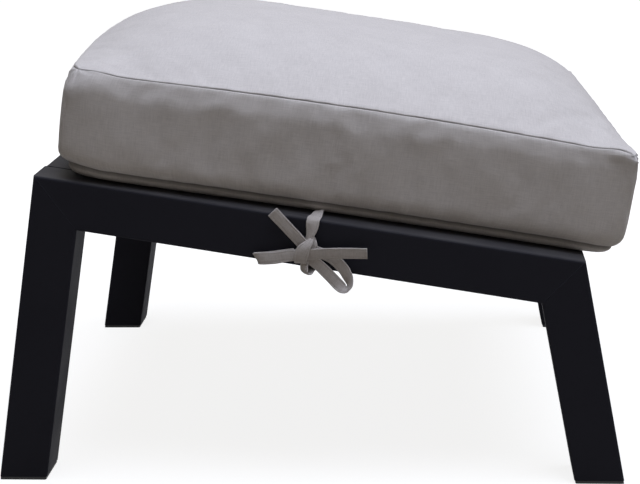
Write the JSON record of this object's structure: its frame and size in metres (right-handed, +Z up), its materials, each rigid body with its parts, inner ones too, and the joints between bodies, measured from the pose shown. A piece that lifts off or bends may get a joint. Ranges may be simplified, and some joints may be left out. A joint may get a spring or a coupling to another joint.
{
  "type": "outdoor ottoman footstool",
  "caption": "Sloping outdoor footstool: black square-tube frame with splayed legs, slatted deck, and a thick boxed cushion tied on with fabric bows.",
  "frame": {"origin": "on the floor, under the middle of the whole footstool", "axes": "+X runs down the slope from the high end to the low end, +Y across the footstool to the far side rail, +Z up"},
  "size_m": [0.6582, 0.5988, 0.4624],
  "materials": {
    "frame_paint": "fine matt powder coat",
    "glide_plastic": "moulded, matt",
    "cover_fabric": "fine plain weave, matt",
    "tie_fabric": "folded and topstitched strap, matt",
    "foam": "open-cell foam",
    "zip_tape": "woven zip tape with moulded chain",
    "zip_metal": "painted zinc, satin"
  },
  "bodies": {
    "frame": {"near_leg_high": "frame_paint", "near_side_rail": "frame_paint", "near_leg_low": "frame_paint", "near_glide_high": "glide_plastic", "near_glide_low": "glide_plastic", "far_leg_high": "frame_paint", "far_side_rail": "frame_paint", "far_leg_low": "frame_paint", "far_glide_high": "glide_plastic", "far_glide_low": "glide_plastic", "cross_rail_high": "frame_paint", "cross_rail_low": "frame_paint", "deck_slat_1": "frame_paint", "deck_slat_2": "frame_paint", "deck_slat_3": "frame_paint", "deck_slat_4": "frame_paint", "deck_slat_5": "frame_paint", "deck_slat_6": "frame_paint", "near_tie_knot": "tie_fabric", "near_tie_outer_strap": "tie_fabric", "near_tie_inner_strap": "tie_fabric", "near_tie_tail_upper": "tie_fabric", "near_tie_tail_side": "tie_fabric", "near_tie_loop_flat": "tie_fabric", "near_tie_loop_open": "tie_fabric", "far_tie_knot": "tie_fabric", "far_tie_outer_strap": "tie_fabric", "far_tie_inner_strap": "tie_fabric", "far_tie_tail_upper": "tie_fabric", "far_tie_tail_side": "tie_fabric", "far_tie_loop_flat": "tie_fabric", "far_tie_loop_open": "tie_fabric"},
    "cushion": {"cushion_core": "foam", "cover_top_panel": "cover_fabric", "cover_bottom_panel": "cover_fabric", "cover_boxing_near": "cover_fabric", "cover_boxing_far": "cover_fabric", "cover_boxing_low_end": "cover_fabric", "cover_zip_strip_lower": "cover_fabric", "cover_zip_strip_upper": "cover_fabric", "zip_tape": "zip_tape"},
    "zip_slider": {"zip_slider": "zip_metal"},
    "zip_pull": {"zip_pull": "zip_metal"}
  },
  "joints": [
    {"name": "cushion_lift", "type": "slide", "parent": "frame", "child": "cushion", "axis": [0.165, 0, 0.9863], "range_m": [0, 0.045]},
    {"name": "zip_slide", "type": "slide", "parent": "cushion", "child": "zip_slider", "axis": [-0.0344, 0.9994, 0.0058], "range_m": [0, 0.41]},
    {"name": "zip_pull_hinge", "type": "hinge", "parent": "zip_slider", "child": "zip_pull", "pos_m": [-0.24425, -0.218, 0.38899], "axis": [0.165, 0, 0.9863], "range_deg": [0, 175]}
  ]
}
